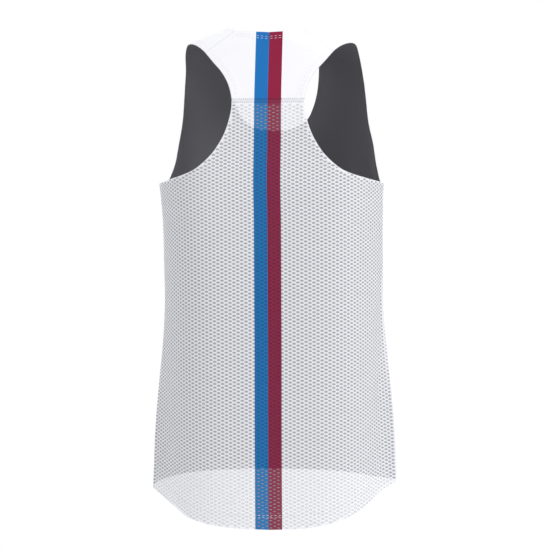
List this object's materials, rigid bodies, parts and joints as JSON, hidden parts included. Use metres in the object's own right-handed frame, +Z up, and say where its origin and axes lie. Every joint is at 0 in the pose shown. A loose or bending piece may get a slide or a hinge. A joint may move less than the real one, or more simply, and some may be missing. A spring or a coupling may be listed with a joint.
{
  "type": "running singlet",
  "caption": "Hollow worn racer-back running singlet: a scooped front, a plain back yoke and an open mesh back with a drop-tail hem.",
  "frame": {"origin": "between the shoulders, at the height of the straps' middle, where the wearer's shoulders hold the singlet up", "axes": "+Z up, -Y to the wearer's front, +X to the wearer's left"},
  "size_m": [0.3494, 0.1865, 0.7032],
  "materials": {
    "plain_knit": "smooth matt white polyester knit",
    "mesh_knit": "white open mesh polyester knit with two printed stripes"
  },
  "bodies": {
    "root": {"front": "plain_knit", "back_yoke": "plain_knit", "back_mesh": "mesh_knit"}
  },
  "joints": []
}
